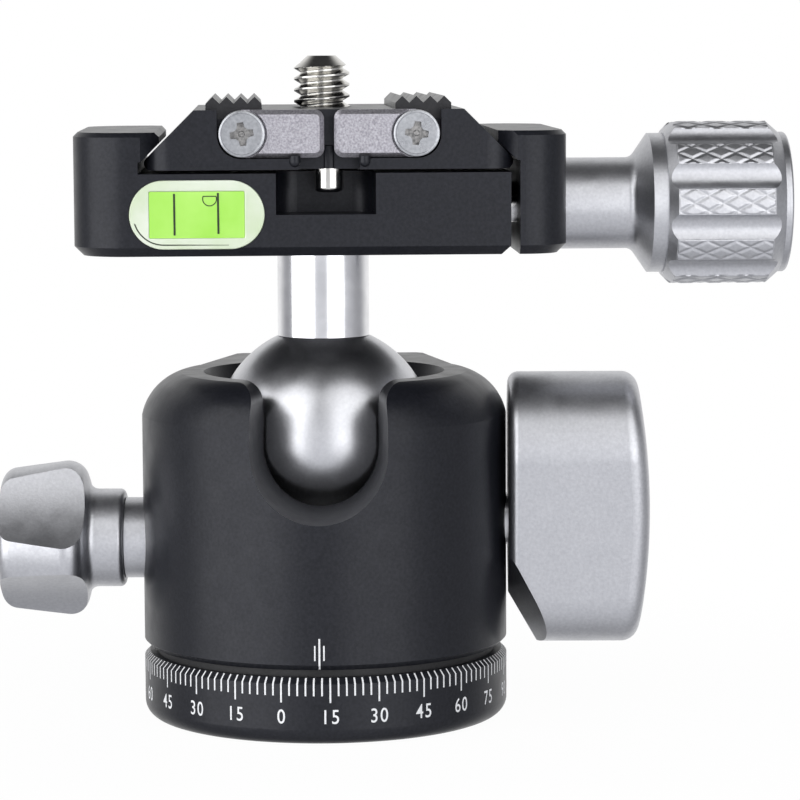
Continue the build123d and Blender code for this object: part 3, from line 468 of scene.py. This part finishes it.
def make_flap_screws():
    meshes, floors = [], []
    recess = cross_loop(RECESS_REACH, RECESS_HALF, RECESS_ROUND)
    for side, turn in SCREW_TURNS:
        ring = filled([arc((0, 0), SCREW_HEAD_R - 0.1, 0, 357, 84), recess], 0.9)
        floor = filled([arc((0, 0), 1.75, 0, 350, 36)], 0.3)
        floor.transform(Matrix.Translation((0, 0, -0.6)))
        pip = filled([arc((0, 0), 0.33, 0, 345, 23)], 0.3, 0.08)
        pip.transform(Matrix.Translation((0, 0, -0.38)))
        rim = lathe([(SCREW_HEAD_R - 0.34, 0.45), (SCREW_HEAD_R - 0.30, 0.49), (SCREW_HEAD_R - 0.20, 0.49),
                     (SCREW_HEAD_R - 0.06, 0.42), (SCREW_HEAD_R, 0.28), (SCREW_HEAD_R, -SCREW_HEAD_T + 0.45),
                     (SCREW_SHANK_R, -SCREW_HEAD_T + 0.45), (SCREW_SHANK_R, -6.0), (0, -6.0)], 96)
        place = Matrix.Translation((PLATE_X + side * FLAP_X, SCREW_HEAD_FRONT + 0.5, FLAP_SCREW_Z))
        place = place @ FRONTAL @ Matrix.Rotation(math.radians(turn), 4, "Z")
        meshes.append(placed(join_meshes("screw", [ring, rim]), place))
        floors.append(placed(join_meshes("floor", [floor, pip]), place))
    add_piece("flap_screw_heads", join_meshes("flap_screw_heads", meshes), screw_steel, "plate",
              ("flap_screws",), CLAMP_FRAME)
    # The recess floors and pips take the darker zinc: painted shade in the recesses.
    add_piece("flap_screw_recesses", join_meshes("flap_screw_recesses", floors), recess_shade_steel, "plate",
              (), CLAMP_FRAME)


def make_stop_pins():
    """Bright pins below the plate, and the black bosses that carry them."""
    pin = [(0, PIN_BOTTOM), (PIN_R * 0.55, PIN_BOTTOM)]
    pin += arc((PIN_R - PIN_ROUND, PIN_BOTTOM + PIN_ROUND), PIN_ROUND, -80, 0, 6)
    pin += [(PIN_R, PLATE_BOTTOM + 0.04), (0, PLATE_BOTTOM + 0.04)]
    foot = PLATE_BOTTOM + 0.06
    boss = [(0, foot), (BOSS_R, foot), (BOSS_R, PIN_TOP), (0, PIN_TOP)]
    meshes, bosses = [], []
    for side in (-1, 1):
        place = Matrix.Translation((PLATE_X, side * PIN_Y, 0))
        meshes.append(placed(lathe(pin, 64), place))
        bosses.append(placed(lathe(boss, 64), place))
    add_piece("pin_bosses", join_meshes("pin_bosses", bosses), black, "plate", (),
              CLAMP_FRAME)
    add_piece("stop_pins_round", join_meshes("stop_pins_round", meshes), chrome, "plate",
              ("stop_pins",), CLAMP_FRAME)


def make_studs():
    """Round-ended studs in the plate's front, under the flaps."""
    profile = [(x, STUD_LOW + STUD_R + z) for x, z in arc((0, 0), STUD_R, -90, 0, 8)]
    profile += [(STUD_R, STUD_HIGH), (0, STUD_HIGH)]
    meshes = [placed(lathe(profile, 40), Matrix.Translation((x, STUD_Y, 0))) for x in STUD_X]
    add_piece("plate_studs", join_meshes("plate_studs", meshes), black, "plate", (),
              CLAMP_FRAME)


# ---- clamp: level and knurl ---------------------------------------------------------------------
CLAMP_FRONT = -18.0
LEVEL_X = -14.05
LEVEL_Z = 58.28
LEVEL_W = 14.85
LEVEL_H = 7.6
LEVEL_DEPTH = 7.0
VIAL_R = 2.6
VIAL_L = 10.4
LEVEL_LINES = ((-2.43, -2.22, 2.30), (2.33, -2.08, 2.36))   # place, foot and top of each line
LEVEL_LINE_HALF = 0.11
LEVEL_LEAN = 0.02
BUBBLE_AT = (1.40, 1.72)
BUBBLE_R = 0.80
# Width of the painted shade ring at the bubble's edge.
BUBBLE_SHADE_W = 0.10
# Inset of the painted shade line along the level's lower and left rim.
RIM_SHADE_IN = 0.42
KNOB_Z = 58.45             # height of the clamp knob's axis
GRIP_R = 9.25
FLUTES = 10
FLUTE_TURN = 15.2
FLUTE_HALF = 1.45
KNURL_X = (39.75, 50.57)
KNURL_ROWS = 150
KNURL_COLUMNS = 40
KNURL_ALONG = 3.27         # length and width of a diamond
KNURL_AROUND = 1.72
KNURL_DEPTH = 0.11
KNURL_PROUD = 0.012
KNURL_SUNK = 0.03          # border below the land, so that the patch has no open edge
KNURL_SHIFT = 0.6          # from land to land


def obround(width, height, steps=24):
    reach = (width - height) / 2
    return arc((reach, 0), height / 2, -90, 90, steps) + arc((-reach, 0), height / 2, 90, 270, steps)


def box_loop(width, height, rounding=0.15):
    w, h = width / 2 - rounding, height / 2 - rounding
    return (arc((w, -h), rounding, -90, 0, 3) + arc((w, h), rounding, 0, 90, 3)
            + arc((-w, h), rounding, 90, 180, 3) + arc((-w, -h), rounding, 180, 270, 3))


def front_place(x, z, y):
    return Matrix.Translation((x, y, z)) @ FRONTAL


def make_level():
    width, height = LEVEL_W - 0.1, LEVEL_H - 0.1
    window_w, window_h = VIAL_L, 2 * VIAL_R - 0.1
    thick = LEVEL_DEPTH - 0.1
    surround = filled([obround(width, height), box_loop(window_w, window_h)], thick, 0.12)
    surround.transform(front_place(LEVEL_X, LEVEL_Z, CLAMP_FRONT + thick / 2 + 0.02))
    add_piece("level_surround", surround, milky, "clamp", ("level_block",), CLAMP_FRAME)
    window = filled([box_loop(window_w - 0.04, window_h - 0.04)], 2.0)
    window.transform(front_place(LEVEL_X, LEVEL_Z, CLAMP_FRONT + 1.0 + 0.10))
    add_piece("level_window", window, fluid, "clamp", (), CLAMP_FRAME)
    # Printed lines, with painted shade at the bubble's edge and along the lower rim.
    marks = []
    face = front_place(LEVEL_X, LEVEL_Z, CLAMP_FRONT + 0.075)
    half = LEVEL_LINE_HALF
    for x, low, high in LEVEL_LINES:
        top = x - LEVEL_LEAN
        line = filled([[(x - half, low), (x + half, low), (top + half, high), (top - half, high)]], 0.02)
        marks.append(placed(line, face))
    # Painted shade: a dark ring round the bubble's edge, open at the top.
    outer = arc(BUBBLE_AT, BUBBLE_R, -205, 25, 26)
    inner = arc(BUBBLE_AT, BUBBLE_R - BUBBLE_SHADE_W, -200, 20, 26)
    marks.append(placed(filled([outer, inner], 0.02), face))
    # Painted shade: a dark line just inside the lower and left rim of the level.
    reach = (width - height) / 2
    rim_shade_r = height / 2 - RIM_SHADE_IN
    outer = arc((-reach, 0), rim_shade_r, 195, 270, 14) + [(reach * 0.95, -rim_shade_r)]
    inner = [(reach * 0.95, -rim_shade_r + 0.05)] + arc((-reach, 0), rim_shade_r - 0.14, 270, 198, 14)
    marks.append(placed(filled([outer + inner], 0.02), front_place(LEVEL_X, LEVEL_Z, CLAMP_FRONT + 0.015)))
    add_piece("level_marks_and_painted_shade", join_meshes("level_marks_and_painted_shade", marks), ink_and_painted_shade, "clamp", (),
              CLAMP_FRAME)


def knurl_height(along, around):
    """Flat-topped diamonds between crossed V grooves."""
    first = along / KNURL_ALONG + around / KNURL_AROUND
    second = along / KNURL_ALONG - around / KNURL_AROUND
    edge = min(abs(first - round(first)), abs(second - round(second)))
    return min(1.0, edge / 0.20)


def make_knurl():
    """One patch of diamonds on each land between the grip's flutes."""
    inner, outer = KNURL_X
    flute_half = math.degrees(math.asin(FLUTE_HALF / GRIP_R))
    land_half = (360 / FLUTES - 2 * flute_half) / 2 - 0.25
    wide = KNURL_COLUMNS + 1
    points, faces = [], []
    for land in range(FLUTES):
        middle = FLUTE_TURN + 360 / FLUTES * (land + 0.5)
        start = len(points)
        for row in range(KNURL_ROWS + 1):
            along = inner + (outer - inner) * row / KNURL_ROWS
            for column in range(wide):
                turn = middle + land_half * (2 * column / KNURL_COLUMNS - 1)
                around = math.radians(turn - middle) * GRIP_R
                if row in (0, KNURL_ROWS) or column in (0, KNURL_COLUMNS):
                    height = -KNURL_SUNK
                else:
                    relief = knurl_height(along - inner, around + land * KNURL_SHIFT)
                    height = KNURL_PROUD + KNURL_DEPTH * relief
                radius = GRIP_R + height
                angle = math.radians(turn)
                points.append((along, radius * math.cos(angle), KNOB_Z + radius * math.sin(angle)))
        for row in range(KNURL_ROWS):
            for column in range(KNURL_COLUMNS):
                here = start + row * wide + column
                faces.append((here, here + 1, here + 1 + wide, here + wide))
    add_piece("grip_knurl", mesh_of("grip_knurl", points, faces, 70), silver, "clamp_knob",
              (), CLAMP_FRAME)


make_scale()
make_index()
make_camera_screw()
make_flap_screws()
make_stop_pins()
make_studs()
make_level()
make_knurl()


# ---- stage -------------------------------------------------------------------------------------
FOCAL_PX = 3372.0          # lens, in pixels of an 800 pixel frame
FRAME_PX = 800.0
SENSOR_MM = 36.0
CAMERA_DISTANCE = 385 * MM
CAMERA_HEIGHT = 76.2 * MM
CAMERA_TILT = 5.96         # degrees down
AXIS_PX = 323.7            # where the head's axis stands in the frame
CAMERA_YAW = 1.9           # degrees that the camera stands right of the notch's middle
CAMERA_ROLL = -0.3
FLOOR_REACH = 6.0
FLOOR_GLOW = 0.972         # share of plain white in the floor near the head
FLOOR_FAR = (0.03, 0.10)   # distances over which the floor becomes all white
# What reflections see.  Each range is a ray's lean from, to, and the light at both ends.
ROOM_CEILING = (-0.25, 0.85, 0.95, 0.10)   # upward lean, from the table to the ceiling
ROOM_SIDES = (-0.8, 0.2, 1.0, 0.50)        # backward lean, from the front to the sides
BACK_WALL = (0.25, 0.85, 0.0, 1.0)         # backward lean, share of the white wall
ROOM_COLOR = (0.95, 0.96, 1.0, 1)
FILL = 0.30
# Soft rectangles: azimuth, elevation, width, height, radiance.
SOFTBOXES = {"left_box": (-52, 18, 0.80, 0.92, 2.0), "right_box": (34, 20, 0.52, 0.86, 1.5)}
SOFTBOX_DISTANCE = 0.6
SOFTBOX_AIM = Vector((0, 0, 0.045))


def make_camera():
    data = bpy.data.cameras.new("camera")
    data.lens = SENSOR_MM * FOCAL_PX / FRAME_PX
    data.sensor_width = SENSOR_MM
    data.clip_start = 0.01
    camera = bpy.data.objects.new("camera", data)
    bpy.context.collection.objects.link(camera)
    yaw = math.radians(CAMERA_YAW)
    camera.location = (CAMERA_DISTANCE * math.sin(yaw), -CAMERA_DISTANCE * math.cos(yaw), CAMERA_HEIGHT)
    aside = math.atan((FRAME_PX / 2 - AXIS_PX) / FOCAL_PX)
    turn = Matrix.Rotation(yaw - aside, 4, "Z") @ Matrix.Rotation(math.radians(90 - CAMERA_TILT), 4, "X")
    turn = turn @ Matrix.Rotation(math.radians(CAMERA_ROLL), 4, "Z")
    camera.rotation_euler = turn.to_euler()
    bpy.context.scene.camera = camera


def make_floor():
    """Large pale sheet: white to the camera but for a soft shadow, and clear to reflections."""
    mesh = bpy.data.meshes.new("floor")
    reach = FLOOR_REACH
    mesh.from_pydata([(-reach, -reach, 0), (reach, -reach, 0), (reach, reach, 0), (-reach, reach, 0)], [],
                     [(0, 1, 2, 3)])
    floor = bpy.data.objects.new("floor", mesh)
    bpy.context.collection.objects.link(floor)
    floor.location.z = -0.02 * MM
    material, shader = new_material("floor_paper", (0.86, 0.86, 0.87), 0.0, 0.8)
    glow = add_node(material, "ShaderNodeEmission", Strength=1.0)
    clear = add_node(material, "ShaderNodeBsdfTransparent")
    path = add_node(material, "ShaderNodeLightPath")
    coords = add_node(material, "ShaderNodeTexCoord")
    distance = add_node(material, "ShaderNodeVectorMath", operation="LENGTH")
    link(material, coords.outputs["Object"], distance.inputs[0])
    far = spread(material, distance.outputs["Value"], FLOOR_GLOW, 1.0, *FLOOR_FAR)
    share = add_node(material, "ShaderNodeMath", operation="MULTIPLY")
    link(material, path.outputs["Is Camera Ray"], share.inputs[0])
    link(material, far, share.inputs[1])
    lit = add_node(material, "ShaderNodeMixShader")
    link(material, share.outputs[0], lit.inputs["Fac"])
    link(material, shader.outputs["BSDF"], lit.inputs[1])
    link(material, glow.outputs["Emission"], lit.inputs[2])
    mix = add_node(material, "ShaderNodeMixShader")
    link(material, path.outputs["Is Glossy Ray"], mix.inputs["Fac"])
    link(material, lit.outputs["Shader"], mix.inputs[1])
    link(material, clear.outputs["BSDF"], mix.inputs[2])
    link(material, mix.outputs["Shader"], material.node_tree.nodes["Material Output"].inputs["Surface"])
    floor.data.materials.append(material)


def make_world():
    """White to the camera; reflections see a white wall behind, a pale table below and a dark ceiling."""
    world = bpy.data.worlds.new("studio")
    bpy.context.scene.world = world
    world.use_nodes = True
    tree = world.node_tree
    links = tree.links

    def node(kind, **values):
        new = tree.nodes.new(kind)
        for key, value in values.items():
            setattr(new, key, value)
        return new

    def ranged(source, start, end, low, high):
        new = node("ShaderNodeMapRange", interpolation_type="SMOOTHSTEP")
        for key, value in (("From Min", start), ("From Max", end), ("To Min", low), ("To Max", high)):
            new.inputs[key].default_value = value
        links.new(source, new.inputs["Value"])
        return new.outputs["Result"]

    def times(first, second):
        new = node("ShaderNodeMath", operation="MULTIPLY")
        links.new(first, new.inputs[0])
        links.new(second, new.inputs[1])
        return new.outputs[0]

    def mixed(share, first, second):
        new = node("ShaderNodeMixShader")
        links.new(share, new.inputs["Fac"])
        links.new(first, new.inputs[1])
        links.new(second, new.inputs[2])
        return new.outputs["Shader"]

    split = node("ShaderNodeSeparateXYZ")
    links.new(node("ShaderNodeTexCoord").outputs["Generated"], split.inputs["Vector"])
    table = ranged(split.outputs["Z"], *ROOM_CEILING)
    sides = ranged(split.outputs["Y"], *ROOM_SIDES)
    room = node("ShaderNodeBackground")
    room.inputs["Color"].default_value = ROOM_COLOR
    links.new(times(table, sides), room.inputs["Strength"])
    white = node("ShaderNodeBackground")
    white.inputs["Color"].default_value = (1, 1, 1, 1)
    behind = ranged(split.outputs["Y"], *BACK_WALL)
    fill = tree.nodes["Background"]
    fill.inputs["Color"].default_value = ROOM_COLOR
    fill.inputs["Strength"].default_value = FILL
    path = node("ShaderNodeLightPath")
    seen = node("ShaderNodeMath", operation="MAXIMUM")
    links.new(path.outputs["Is Camera Ray"], seen.inputs[0])
    links.new(path.outputs["Is Transmission Ray"], seen.inputs[1])
    reflected = mixed(behind, room.outputs[0], white.outputs[0])
    glossy = mixed(path.outputs["Is Glossy Ray"], fill.outputs[0], reflected)
    last = mixed(seen.outputs[0], glossy, white.outputs[0])
    links.new(last, tree.nodes["World Output"].inputs["Surface"])


def softbox(name, azimuth, elevation, width, height, radiance):
    """Soft rectangle; azimuth is counted from straight ahead of the head, to the right."""
    turn, rise = math.radians(azimuth), math.radians(elevation)
    data = bpy.data.lights.new(name, "AREA")
    data.shape = "RECTANGLE"
    data.size = width
    data.size_y = height
    data.energy = radiance * math.pi * width * height
    lamp = bpy.data.objects.new(name, data)
    bpy.context.collection.objects.link(lamp)
    away = Vector((math.sin(turn) * math.cos(rise), -math.cos(turn) * math.cos(rise), math.sin(rise)))
    lamp.location = SOFTBOX_AIM + SOFTBOX_DISTANCE * away
    lamp.rotation_euler = (SOFTBOX_AIM - lamp.location).to_track_quat("-Z", "Y").to_euler()


make_camera()
make_floor()
make_world()
for name, settings in SOFTBOXES.items():
    softbox(name, *settings)

scene = bpy.context.scene
scene.view_settings.view_transform = "Standard"
